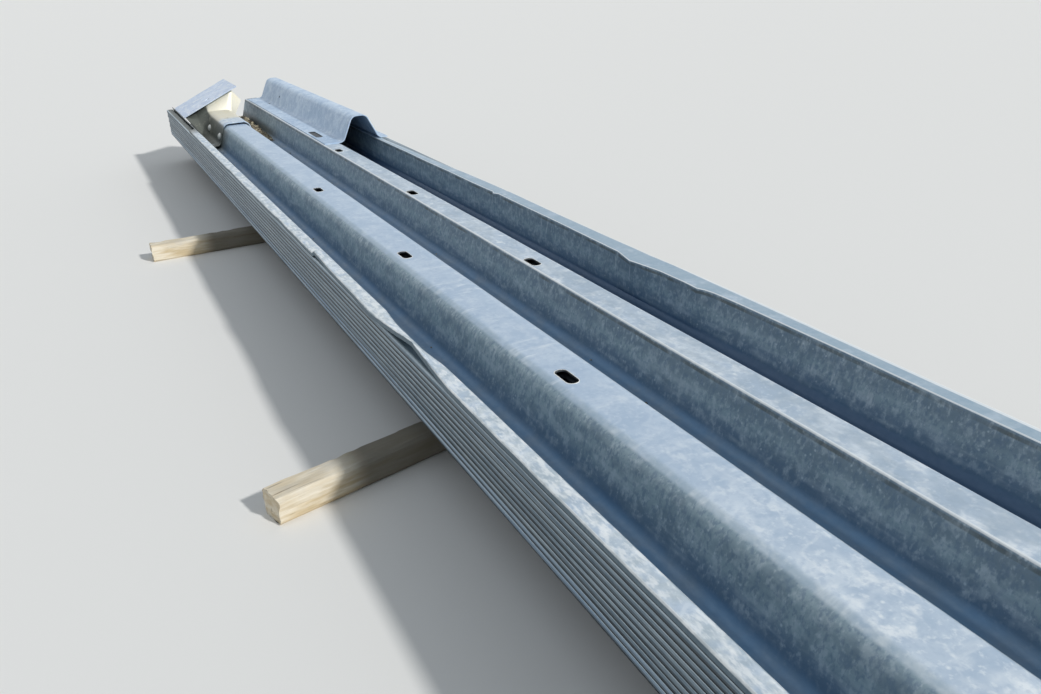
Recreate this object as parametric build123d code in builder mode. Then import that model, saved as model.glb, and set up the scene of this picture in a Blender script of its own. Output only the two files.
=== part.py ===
from build123d import *
import math
import os

os.makedirs("parts", exist_ok=True)

# Frame: X across the rails, Y along them, Z up from the ground.
# The origin is on the ground, below the middle of the pile.

# Driving dimensions of one rail, in millimetres.
RAIL_LENGTH = 4318.0
SHEET = 3.0
DEPTH = 83.0
SLOPE_RUN = 25.0

# Widths across the rail from corner to corner, from the left tip to the right one.
LEFT_FLANGE = 26.0
TROUGH_1 = 102.0
CREST_1 = 90.0
TROUGH_2 = 124.0
CREST_2 = 55.0
TROUGH_3 = 151.0
RIGHT_FLANGE = 30.0

# Both edges are turned down into a lip, measured from the middle of the flange.
EDGE_LIP = 8.4

# Bend radii at the middle of the sheet.
LIP_BEND = 3.0
FLANGE_BEND = 8.0
FLOOR_BEND = 18.0
ROUND_CREST_BEND = 26.0
SHARP_CREST_BEND = 5.0
CREST_2_RIGHT_BEND = 10.0

# Post-bolt slots in the two crests, measured from the rail's near end.
SLOT_LENGTH = 50.0
SLOT_WIDTH = 20.0
SLOT_PITCH = 667.0
SLOT_COUNT = 3
FIRST_SLOT_IN_CREST_1 = 1064.0
FIRST_SLOT_IN_CREST_2 = 1542.0
SLOT_1_FROM_CORNER = 32.0
SLOT_2_FROM_CORNER = 14.0

# The pile.
RAIL_COUNT = 11
NEST_GAP = 0.1
END_STAGGER = (0.0, 5.0, -4.0, 7.0, -7.0, 3.0, -8.0, 8.0, -2.0, 4.0, 0.0)

# Damage of the top rail: its left flange is bent up at one place and torn off at the far end.
KINK_START_FROM_NEAR_END = 1125.0
KINK_PEAK_FROM_NEAR_END = 1275.0
KINK_END_FROM_NEAR_END = 1469.0
KINK_LIFT = 17.0
KINK_WIDTH = 19.0
TORN_FLANGE_LENGTH = 689.0

# Timber bearers under the pile.
BEARER_LENGTH = 1100.0
BEARER_WIDTH = 54.0
BEARER_HEIGHT = 48.0
BEARER_EDGE = 5.0
NEAR_BEARER_FROM_NEAR_END = 1419.0
NEAR_BEARER_ANGLE = 13.7
FAR_BEARER_FROM_FAR_END = 1494.0

# Short one-wave rail that lies on the far end, with its wave over the third trough.
OFFCUT_LENGTH = 1290.0
OFFCUT_FROM_FAR_END = 29.0
OFFCUT_TIP_FROM_CREST_2 = 4.0
OFFCUT_LEFT_FLANGE = 64.0
OFFCUT_WAVE = 124.0
OFFCUT_SLOPE_RUN = 38.0
OFFCUT_RIGHT_FLANGE = 30.0
OFFCUT_FOOT_BEND = 20.0
OFFCUT_CREST_BEND = 24.0
OFFCUT_SLOT_LENGTH = 125.0
OFFCUT_SLOT_WIDTH = 24.0
OFFCUT_SLOT_FROM_NEAR_END = 195.0
OFFCUT_SLOT_FROM_TIP = 20.0

# End terminal over the first crest at the far end. From the near edge on: a sleeve, a ramp
# where the left wing lifts out of the first trough, a steep step, and the tilted head.
TERMINAL_FROM_FAR_END = 19.0
SLEEVE_LENGTH = 290.0
RAMP_LENGTH = 70.0
STEP_LENGTH = 35.0
HEAD_LENGTH = 280.0
TERMINAL_LAP = 24.0
TERMINAL_RIGHT_LAP = 30.0
TERMINAL_BEND = 10.0
WING_FROM_CREST_1 = 89.0
WING_BEND_FROM_CREST_1 = 44.0
WING_EDGE_BELOW_CREST = 8.0
WING_BEND_BELOW_CREST = 20.0
WING_BEND_LIFT = 22.0
HEAD_FROM_CREST_1 = 11.0
HEAD_WIDTH = 97.0
HEAD_RIGHT_RUN = 35.0
HEAD_RIGHT_DROP = 47.0
SPLICE_HOLE = 22.0
SPLICE_HOLE_PITCH = 230.0
SPLICE_HOLE_COUNT = 2
SPLICE_HOLE_FROM_NEAR_EDGE = 40.0
SPLICE_HOLE_ABOVE_TROUGH = 30.0
CREST_HOLE = 18.0
CREST_HOLE_FROM_NEAR_EDGE = 130.0

# Loose plate that leans on the terminal's head, its left edge in the mouth of the first trough.
PLATE_LENGTH = 300.0
PLATE_WIDTH = 250.0
PLATE_THICKNESS = 4.0
PLATE_FROM_LEFT_TIP = 32.0
PLATE_BELOW_CREST = 8.0
PLATE_ANGLE = 24.3
PLATE_HOLE = 22.0
PLATE_HOLE_FROM_NEAR_EDGE = 76.0

# Derived sizes.
near_y = -RAIL_LENGTH / 2
far_y = RAIL_LENGTH / 2
slope_height = DEPTH - SHEET
slope_angle = math.degrees(math.atan2(slope_height, SLOPE_RUN))
nest_pitch = (SHEET + NEST_GAP) / math.cos(math.radians(slope_angle))
rail_width = LEFT_FLANGE + TROUGH_1 + CREST_1 + TROUGH_2 + CREST_2 + TROUGH_3 + RIGHT_FLANGE
left_tip_x = -rail_width / 2
crest_1_x = left_tip_x + LEFT_FLANGE + TROUGH_1
crest_2_x = crest_1_x + CREST_1 + TROUGH_2
top_crest_z = BEARER_HEIGHT + (RAIL_COUNT - 1) * nest_pitch + DEPTH
kink_start_y = near_y + KINK_START_FROM_NEAR_END
kink_peak_y = near_y + KINK_PEAK_FROM_NEAR_END
kink_end_y = near_y + KINK_END_FROM_NEAR_END
terminal_far_y = far_y - TERMINAL_FROM_FAR_END
head_near_y = terminal_far_y - HEAD_LENGTH
step_near_y = head_near_y - STEP_LENGTH
ramp_near_y = step_near_y - RAMP_LENGTH
plate_x = left_tip_x + PLATE_FROM_LEFT_TIP
plate_z = top_crest_z - PLATE_BELOW_CREST


def rail_plane(y):
    """Plane across the pile at y, with its local Y up, for sections of the rails."""
    return Plane(origin=(0, y, 0), x_dir=(1, 0, 0), z_dir=(0, -1, 0))


def wave_points(start_x, low_z, spans):
    """Corners of a waved sheet: flange, trough, crest, trough, ... flange, as widths."""
    high_z = low_z + slope_height
    points = [(start_x, high_z)]
    x = start_x
    for index, width in enumerate(spans[:-1]):
        x += width
        if index % 2 == 0:
            points.append((x, high_z))
            points.append((x + SLOPE_RUN, low_z))
        else:
            points.append((x - SLOPE_RUN, low_z))
            points.append((x, high_z))
    points.append((x + spans[-1], high_z))
    return points


def lipped(points):
    """The same corners with both free edges of the sheet turned down into a lip."""
    left_x = points[0][0] + SHEET / 2
    right_x = points[-1][0] - SHEET / 2
    high_z = points[0][1]
    low_z = high_z - EDGE_LIP
    return [(left_x, low_z), (left_x, high_z), *points[1:-1], (right_x, high_z), (right_x, low_z)]


def flange_strip(y, z, lift):
    """Section of the left flange at y with its free edge lifted."""
    with BuildSketch(rail_plane(y)) as strip:
        with BuildLine():
            Polyline(
                (left_tip_x, z + lift + SHEET / 2),
                (left_tip_x, z + lift - EDGE_LIP),
                (left_tip_x + SHEET, z + lift - EDGE_LIP),
                (left_tip_x + SHEET, z + lift - SHEET / 2),
                (left_tip_x + KINK_WIDTH, z - SHEET / 2),
                (left_tip_x + KINK_WIDTH, z + SHEET / 2),
                close=True,
            )
        make_face()
    return strip.sketch.face()


def make_rail(number):
    """One three-wave rail, nested as the given number from the bottom."""
    shift = END_STAGGER[number]
    floor_z = BEARER_HEIGHT + SHEET / 2 + number * nest_pitch
    crest_z = floor_z + slope_height
    spans = (LEFT_FLANGE, TROUGH_1, CREST_1, TROUGH_2, CREST_2, TROUGH_3, RIGHT_FLANGE)
    bends = (
        LIP_BEND, FLANGE_BEND, FLOOR_BEND, FLOOR_BEND, ROUND_CREST_BEND,
        ROUND_CREST_BEND, FLOOR_BEND, FLOOR_BEND, SHARP_CREST_BEND,
        CREST_2_RIGHT_BEND, FLOOR_BEND, FLOOR_BEND, SHARP_CREST_BEND, LIP_BEND,
    )
    slot_rows = (
        (crest_1_x + SLOT_1_FROM_CORNER, near_y + FIRST_SLOT_IN_CREST_1 + shift),
        (crest_2_x + SLOT_2_FROM_CORNER, near_y + FIRST_SLOT_IN_CREST_2 + shift),
    )
    with BuildPart() as rail:
        with BuildSketch(rail_plane(far_y + shift)):
            with BuildLine() as middle:
                FilletPolyline(*lipped(wave_points(left_tip_x, floor_z, spans)), radius=bends)
            trace(middle.line, line_width=SHEET)
        extrude(amount=RAIL_LENGTH)
        with BuildSketch(Plane.XY.offset(crest_z + SHEET)):
            for x, first_y in slot_rows:
                with Locations([(x, first_y + index * SLOT_PITCH) for index in range(SLOT_COUNT)]):
                    SlotOverall(SLOT_LENGTH, SLOT_WIDTH, rotation=90)
        extrude(amount=-2 * SHEET, mode=Mode.SUBTRACT)
        if number == RAIL_COUNT - 1:
            with BuildSketch(Plane.XY.offset(crest_z + SHEET)):
                with Locations((left_tip_x, far_y)):
                    Rectangle(2 * LEFT_FLANGE, 2 * TORN_FLANGE_LENGTH)
                with Locations((left_tip_x, (kink_start_y + kink_end_y) / 2)):
                    Rectangle(2 * KINK_WIDTH, kink_end_y - kink_start_y)
            extrude(amount=-2 * EDGE_LIP, mode=Mode.SUBTRACT)
            start = flange_strip(kink_start_y, crest_z, 0)
            peak = flange_strip(kink_peak_y, crest_z, KINK_LIFT)
            end = flange_strip(kink_end_y, crest_z, 0)
            loft([start, peak], ruled=True)
            loft([peak, end], ruled=True)
    rail.part.label = f"rail_{number + 1:02d}"
    return rail.part


def make_bearer(name, y, angle):
    """A weathered batten across the pile, with its long edges worn off."""
    plane = Plane(origin=(0, y, 0)).rotated((0, 0, angle))
    with BuildPart() as bearer:
        with BuildSketch(plane):
            Rectangle(BEARER_LENGTH, BEARER_WIDTH)
        extrude(amount=BEARER_HEIGHT)
        long_edges = bearer.edges().filter_by(lambda edge: edge.length > BEARER_LENGTH / 2)
        chamfer(long_edges, BEARER_EDGE)
    bearer.part.label = name
    return bearer.part


def make_offcut():
    """A short one-wave rail, wave up, on the second crest and the right flange."""
    low_z = top_crest_z + SHEET / 2
    high_z = low_z + slope_height
    tip_x = crest_2_x + OFFCUT_TIP_FROM_CREST_2
    foot_x = tip_x + OFFCUT_LEFT_FLANGE
    far_foot_x = foot_x + OFFCUT_WAVE
    points = (
        (tip_x, low_z),
        (foot_x, low_z),
        (foot_x + OFFCUT_SLOPE_RUN, high_z),
        (far_foot_x - OFFCUT_SLOPE_RUN, high_z),
        (far_foot_x, low_z),
        (far_foot_x + OFFCUT_RIGHT_FLANGE, low_z),
    )
    bends = (OFFCUT_FOOT_BEND, OFFCUT_CREST_BEND, OFFCUT_CREST_BEND, OFFCUT_FOOT_BEND)
    offcut_far_y = far_y - OFFCUT_FROM_FAR_END
    slot_y = offcut_far_y - OFFCUT_LENGTH + OFFCUT_SLOT_FROM_NEAR_END
    with BuildPart() as offcut:
        with BuildSketch(rail_plane(offcut_far_y)):
            with BuildLine() as middle:
                FilletPolyline(*points, radius=bends)
            trace(middle.line, line_width=SHEET)
        extrude(amount=OFFCUT_LENGTH)
        with BuildSketch(Plane.XY.offset(low_z + SHEET)):
            with Locations((tip_x + OFFCUT_SLOT_FROM_TIP, slot_y)):
                SlotOverall(OFFCUT_SLOT_LENGTH, OFFCUT_SLOT_WIDTH, rotation=90)
        extrude(amount=-2 * SHEET, mode=Mode.SUBTRACT)
    offcut.part.label = "rail_offcut"
    return offcut.part


def plate_underside(x):
    """Height of the leaning plate's underside at x."""
    return plate_z + (x - plate_x) * math.tan(math.radians(PLATE_ANGLE))


def terminal_face(y, points, bends):
    """Section of the terminal's sheet at y, bent along the points."""
    with BuildSketch(rail_plane(y)) as section:
        with BuildLine() as middle:
            FilletPolyline(*points, radius=bends)
        trace(middle.line, line_width=SHEET)
    return section.sketch.face()


def make_terminal():
    """A sleeve on the first crest, with a left wing, a step and a tilted head."""
    floor_z = BEARER_HEIGHT + SHEET / 2 + RAIL_COUNT * nest_pitch
    crest_z = floor_z + slope_height
    crest_right_x = crest_1_x + CREST_1
    right_edge = (
        crest_right_x + SLOPE_RUN * TERMINAL_RIGHT_LAP / slope_height,
        crest_z - TERMINAL_RIGHT_LAP,
    )
    sleeve = terminal_face(
        ramp_near_y,
        (
            (crest_1_x - SLOPE_RUN - TERMINAL_LAP, floor_z),
            (crest_1_x - SLOPE_RUN, floor_z),
            (crest_1_x, crest_z),
            (crest_right_x, crest_z),
            right_edge,
        ),
        (FLOOR_BEND, ROUND_CREST_BEND, ROUND_CREST_BEND),
    )
    step = terminal_face(
        step_near_y,
        (
            (crest_1_x - WING_FROM_CREST_1, top_crest_z - WING_EDGE_BELOW_CREST),
            (crest_1_x - WING_BEND_FROM_CREST_1, top_crest_z - WING_BEND_BELOW_CREST),
            (crest_1_x, crest_z),
            (crest_right_x, crest_z),
            right_edge,
        ),
        (TERMINAL_BEND, ROUND_CREST_BEND, ROUND_CREST_BEND),
    )
    half_sheet = SHEET / 2 / math.cos(math.radians(PLATE_ANGLE))
    head_left_x = crest_1_x + HEAD_FROM_CREST_1
    head_right_x = head_left_x + HEAD_WIDTH
    head_right_z = plate_underside(head_right_x) - half_sheet
    wing_bend_z = top_crest_z - WING_BEND_BELOW_CREST + WING_BEND_LIFT
    head = terminal_face(
        head_near_y,
        (
            (crest_1_x - WING_FROM_CREST_1, top_crest_z - WING_EDGE_BELOW_CREST),
            (crest_1_x - WING_BEND_FROM_CREST_1, wing_bend_z),
            (head_left_x, plate_underside(head_left_x) - half_sheet),
            (head_right_x, head_right_z),
            (head_right_x + HEAD_RIGHT_RUN, head_right_z - HEAD_RIGHT_DROP),
        ),
        (TERMINAL_BEND, TERMINAL_BEND, TERMINAL_BEND),
    )
    sleeve_near_y = ramp_near_y - SLEEVE_LENGTH
    splice_y = sleeve_near_y + SPLICE_HOLE_FROM_NEAR_EDGE
    splice_z = floor_z + SPLICE_HOLE_ABOVE_TROUGH
    splice_plane = Plane(origin=(crest_1_x, splice_y, splice_z), x_dir=(0, 1, 0), z_dir=(-1, 0, 0))
    with BuildPart() as terminal:
        extrude(sleeve, amount=SLEEVE_LENGTH)
        loft([sleeve, step], ruled=True)
        loft([step, head], ruled=True)
        extrude(head, amount=-HEAD_LENGTH)
        with BuildSketch(splice_plane):
            with Locations([(index * SPLICE_HOLE_PITCH, 0) for index in range(SPLICE_HOLE_COUNT)]):
                Circle(SPLICE_HOLE / 2)
        extrude(amount=2 * SLOPE_RUN, mode=Mode.SUBTRACT)
        with BuildSketch(Plane.XY.offset(crest_z + SHEET)):
            with Locations((crest_1_x + SLOT_1_FROM_CORNER, sleeve_near_y + CREST_HOLE_FROM_NEAR_EDGE)):
                Circle(CREST_HOLE / 2)
        extrude(amount=-2 * SHEET, mode=Mode.SUBTRACT)
    terminal.part.label = "end_terminal"
    return terminal.part


def make_plate():
    """A flat plate with one hole that leans on the terminal's head."""
    plane = Plane(origin=(plate_x, terminal_far_y, plate_z)).rotated((0, -PLATE_ANGLE, 0))
    with BuildPart() as plate:
        with BuildSketch(plane):
            with Locations((PLATE_WIDTH / 2, -PLATE_LENGTH / 2)):
                Rectangle(PLATE_WIDTH, PLATE_LENGTH)
            with Locations((PLATE_WIDTH / 2, PLATE_HOLE_FROM_NEAR_EDGE - PLATE_LENGTH)):
                Circle(PLATE_HOLE / 2, mode=Mode.SUBTRACT)
        extrude(amount=PLATE_THICKNESS)
    plate.part.label = "end_plate"
    return plate.part


pieces = [make_rail(number) for number in range(RAIL_COUNT)]
pieces.append(make_bearer("bearer_near", near_y + NEAR_BEARER_FROM_NEAR_END, NEAR_BEARER_ANGLE))
pieces.append(make_bearer("bearer_far", far_y - FAR_BEARER_FROM_FAR_END, 0))
pieces.append(make_offcut())
pieces.append(make_terminal())
pieces.append(make_plate())

for piece in pieces:
    export_step(piece, f"parts/{piece.label}.step")
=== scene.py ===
"""Looks for a pile of nested guardrail rails that lies on two timber bearers.

The CAD frame gives every place and size. The top rail, the short offcut and the timbers are
dressed with finer meshes; the other nodes keep their shape and get their finish here.
Lengths are millimetres in the CAD frame, unless a name says otherwise.
"""

import logging
import math
from dataclasses import dataclass
from enum import Enum
from typing import Any, Callable, Sequence

import bpy
import numpy as np
from mathutils import Matrix, Vector, noise

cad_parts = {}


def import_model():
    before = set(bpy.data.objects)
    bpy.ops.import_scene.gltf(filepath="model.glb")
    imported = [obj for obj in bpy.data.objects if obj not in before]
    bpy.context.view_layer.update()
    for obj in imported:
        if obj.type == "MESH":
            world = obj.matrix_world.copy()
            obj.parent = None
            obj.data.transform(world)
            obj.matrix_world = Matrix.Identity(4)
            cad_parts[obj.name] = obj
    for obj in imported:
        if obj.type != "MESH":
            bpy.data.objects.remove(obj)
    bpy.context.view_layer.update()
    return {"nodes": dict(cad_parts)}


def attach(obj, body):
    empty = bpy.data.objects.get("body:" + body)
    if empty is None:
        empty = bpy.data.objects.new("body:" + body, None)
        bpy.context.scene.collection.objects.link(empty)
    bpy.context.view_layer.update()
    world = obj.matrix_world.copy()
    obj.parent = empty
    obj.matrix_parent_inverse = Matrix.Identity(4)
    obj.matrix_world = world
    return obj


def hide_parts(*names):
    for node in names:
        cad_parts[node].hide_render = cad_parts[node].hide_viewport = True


LOG = logging.getLogger("guardrail_pile")
MM = 0.001
BODY = "root"

Point = tuple[float, float]
Warp = Callable[[np.ndarray, np.ndarray], np.ndarray]


class Slot(Enum):
    """The record's material slots."""

    STEEL = "galvanised_steel"
    TIMBER = "weathered_softwood"


# Colour and shader nodes


def linear(hex_colour: str) -> tuple[float, float, float, float]:
    """Turns an sRGB hex colour into a linear RGBA value.

    Args:
        hex_colour: Six hex digits with a leading hash.

    Returns:
        The colour as Blender's sockets want it.
    """
    channels = [int(hex_colour[i : i + 2], 16) / 255 for i in (1, 3, 5)]
    red, green, blue = (
        c / 12.92 if c <= 0.04045 else ((c + 0.055) / 1.055) ** 2.4 for c in channels
    )
    return (red, green, blue, 1.0)


def add_node(
    tree: bpy.types.NodeTree,
    kind: str,
    settings: dict[str, Any] | None = None,
    inputs: dict[Any, Any] | None = None,
) -> bpy.types.Node:
    """Adds one node with its settings, values and links.

    Args:
        tree: The tree that gets the node.
        kind: The node's type name.
        settings: Attributes of the node.
        inputs: Socket name or number to a value, or to an output socket to link.

    Returns:
        The new node.
    """
    node = tree.nodes.new(kind)
    for name, value in (settings or {}).items():
        setattr(node, name, value)
    for key, value in (inputs or {}).items():
        if isinstance(value, bpy.types.NodeSocket):
            tree.links.new(value, node.inputs[key])
        else:
            node.inputs[key].default_value = value
    return node


class Canvas:
    """The node tree of one finish, with its coordinates in millimetres."""

    def __init__(self, name: str) -> None:
        """Starts an empty material.

        Args:
            name: The material's name.
        """
        self.material = bpy.data.materials.new(name)
        self.material.use_nodes = True
        self.tree = self.material.node_tree
        self.tree.nodes.clear()
        place = add_node(self.tree, "ShaderNodeTexCoord").outputs["Object"]
        scaled = {"operation": "SCALE"}
        inputs = {0: place, "Scale": 1 / MM}
        self.place = add_node(self.tree, "ShaderNodeVectorMath", scaled, inputs).outputs[0]
        parts = add_node(self.tree, "ShaderNodeSeparateXYZ", inputs={0: self.place}).outputs
        self.x, self.y, self.z = parts[0], parts[1], parts[2]
        mirrored = {"operation": "ABSOLUTE"}
        self.aside = add_node(self.tree, "ShaderNodeMath", mirrored, {0: self.x}).outputs[0]
        facing = add_node(self.tree, "ShaderNodeNewGeometry").outputs["Normal"]
        turned = add_node(self.tree, "ShaderNodeSeparateXYZ", inputs={0: facing}).outputs
        self.facing_z = turned[2]

    def zone(
        self, value: Any, low: float | None, high: float | None, soft: float
    ) -> bpy.types.NodeSocket:
        """Marks where a value lies between two bounds.

        Args:
            value: The socket that is looked at.
            low: Lower bound, or None for no bound.
            high: Upper bound, or None for no bound.
            soft: Width over which the mark fades outside a bound.

        Returns:
            A mask that is 1 inside and 0 outside.
        """
        reach = {"Value": value, "From Min": 0.0, "From Max": 0.0}
        if low is not None and high is not None:
            middle, half = (low + high) / 2, (high - low) / 2
            shifted = add_node(
                self.tree, "ShaderNodeMath", {"operation": "SUBTRACT"}, {0: value, 1: middle}
            ).outputs[0]
            away = {"operation": "ABSOLUTE"}
            reach["Value"] = add_node(self.tree, "ShaderNodeMath", away, {0: shifted}).outputs[0]
            reach["From Min"], reach["From Max"] = half + soft, half
        elif low is not None:
            reach["From Min"], reach["From Max"] = low - soft, low
        elif high is not None:
            reach["From Min"], reach["From Max"] = high + soft, high
        eased = {"interpolation_type": "SMOOTHSTEP"}
        return add_node(self.tree, "ShaderNodeMapRange", eased, reach).outputs[0]

    def swells(
        self, size: float | tuple[float, float, float], seed: float, detail: float
    ) -> bpy.types.NodeSocket:
        """Draws soft swells around a value of one half.

        Args:
            size: Size of a swell, or its sizes along X, Y and Z.
            seed: Shifts the pattern.
            detail: Finer octaves in the pattern.

        Returns:
            The pattern's value.
        """
        sizes = size if isinstance(size, tuple) else (size, size, size)
        shrink = {
            "Vector": self.place,
            "Location": (seed, seed, seed),
            "Scale": tuple(1 / one for one in sizes),
        }
        stretched = add_node(self.tree, "ShaderNodeMapping", inputs=shrink).outputs[0]
        grain = {"Vector": stretched, "Scale": 1.0, "Detail": detail, "Roughness": 0.6}
        return add_node(self.tree, "ShaderNodeTexNoise", inputs=grain).outputs[0]

    def cloud(
        self, size: float | tuple[float, float, float], low: float, high: float, seed: float = 0.0
    ) -> bpy.types.NodeSocket:
        """Draws a cloudy pattern and lifts its contrast.

        Args:
            size: Size of a patch, or its sizes along X, Y and Z.
            low: Value of the pattern that gives 0.
            high: Value of the pattern that gives 1.
            seed: Shifts the pattern.

        Returns:
            The pattern's value from 0 to 1.
        """
        reach = {"Value": self.swells(size, seed, 3.0), "From Min": low, "From Max": high}
        return add_node(self.tree, "ShaderNodeMapRange", inputs=reach).outputs[0]

    def rims(self, size: float, width: float, seed: float) -> bpy.types.NodeSocket:
        """Draws thin curved lines, as the rims that drying puddles leave.

        Args:
            size: Size of a puddle.
            width: Share of the pattern that is line.
            seed: Shifts the pattern.

        Returns:
            A mask that is 1 on the lines.
        """
        value = self.swells(size, seed, 1.5)
        return self.zone(value, 0.5 - width / 4, 0.5 + width / 4, width / 2)

    def specks(self, spacing: float, radius: float) -> bpy.types.NodeSocket:
        """Draws small round specks.

        Args:
            spacing: Mean distance between specks.
            radius: Radius of a speck.

        Returns:
            A mask that is 1 in a speck's middle.
        """
        cells = {"Vector": self.place, "Scale": 1 / spacing}
        away = add_node(self.tree, "ShaderNodeTexVoronoi", inputs=cells).outputs["Distance"]
        reach = {"Value": away, "From Min": radius / spacing, "From Max": 0.3 * radius / spacing}
        return add_node(self.tree, "ShaderNodeMapRange", inputs=reach).outputs[0]

    def paint(self, colour: Any, over: Any, *masks: Any) -> bpy.types.NodeSocket:
        """Lays a colour over another one where all the masks allow it.

        Args:
            colour: The colour below, as a hex value or a socket.
            over: The colour on top, as a hex value or a socket.
            masks: Masks and numbers, which are multiplied.

        Returns:
            The new colour's socket.
        """
        share = masks[0]
        for mask in masks[1:]:
            both = {0: share, 1: mask}
            times = {"operation": "MULTIPLY"}
            share = add_node(self.tree, "ShaderNodeMath", times, both).outputs[0]
        below, above = (linear(one) if isinstance(one, str) else one for one in (colour, over))
        inputs = {0: share, 6: below, 7: above}
        return add_node(self.tree, "ShaderNodeMix", {"data_type": "RGBA"}, inputs).outputs[2]

    def layers(self, colour: Any, *layers: tuple[Any, ...]) -> bpy.types.NodeSocket:
        """Lays several colours over each other.

        Args:
            colour: The lowest colour, as a hex value or a socket.
            layers: A colour and its masks for each layer, from below.

        Returns:
            The new colour's socket.
        """
        for over, *masks in layers:
            colour = self.paint(colour, over, *masks)
        return colour

    def finish(
        self, colour: Any, relief: Any, depth: float, roughness: Any, metallic: float
    ) -> bpy.types.Material:
        """Closes the material.

        Args:
            colour: The base colour.
            relief: Height pattern of the surface.
            depth: Depth of the relief.
            roughness: Roughness as a number or a socket.
            metallic: Share of bare metal.

        Returns:
            The material.
        """
        bumped = {"Strength": 0.5, "Distance": depth * MM, "Height": relief}
        normal = add_node(self.tree, "ShaderNodeBump", inputs=bumped).outputs[0]
        inputs = {
            "Base Color": colour,
            "Metallic": metallic,
            "Roughness": roughness,
            "Normal": normal,
        }
        shader = add_node(self.tree, "ShaderNodeBsdfPrincipled", inputs=inputs).outputs[0]
        add_node(self.tree, "ShaderNodeOutputMaterial", inputs={0: shader})
        return self.material


# Finishes


@dataclass(frozen=True)
class HotDipZinc:
    """Hot-dip galvanised steel sheet that has dulled outdoors.

    The dip leaves a cloudy coat with faint crystals, and the weather turns its shine to a
    pale matt grey-blue.
    """

    name: str
    pale: str = "#D3DDE5"
    grey: str = "#A7B9CB"
    scuff: str = "#E3E9EC"
    cloud_mm: float = 120.0
    # Real crystals are finer; they are drawn as coarse as the render needs to show them.
    crystal_mm: float = 9.0
    rough: float = 0.46
    rougher: float = 0.62
    metallic: float = 0.35
    relief_mm: float = 0.35

    def build(self) -> bpy.types.Material:
        """Builds the material from its coat and its weathering.

        Returns:
            The material.
        """
        canvas = Canvas(self.name)
        colour = self.weather(canvas, self.coat(canvas))
        crystals = canvas.cloud(self.crystal_mm, 0.3, 0.7)
        tree = canvas.tree
        shine = {"Value": crystals, "To Min": self.rough, "To Max": self.rougher}
        roughness = add_node(tree, "ShaderNodeMapRange", inputs=shine).outputs[0]
        return canvas.finish(colour, crystals, self.relief_mm, roughness, self.metallic)

    def coat(self, canvas: Canvas) -> bpy.types.NodeSocket:
        """Draws the clouds, crystals and light scuffs of the zinc.

        Args:
            canvas: The material's canvas.

        Returns:
            The coat's colour.
        """
        size, crystal = self.cloud_mm, self.crystal_mm
        return canvas.layers(
            self.grey,
            (self.pale, canvas.cloud(size, 0.36, 0.62)),
            (self.grey, 0.8, canvas.cloud(size / 4, 0.46, 0.62, 3.0)),
            (self.scuff, 0.28, canvas.rims(size * 0.6, 0.05, 12.0)),
            (self.scuff, 0.7, canvas.cloud((22, 34, 34), 0.54, 0.66, 7.0)),
            (self.grey, 0.5, canvas.cloud(crystal, 0.48, 0.64, 5.0)),
            (self.scuff, 0.45, canvas.cloud(crystal, 0.55, 0.68, 15.0)),
            (self.scuff, 0.7, canvas.specks(24.0, 3.0)),
        )

    def weather(self, canvas: Canvas, colour: Any) -> Any:
        """Adds nothing here: each kind of piece weathers in its own way."""
        return colour


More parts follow.
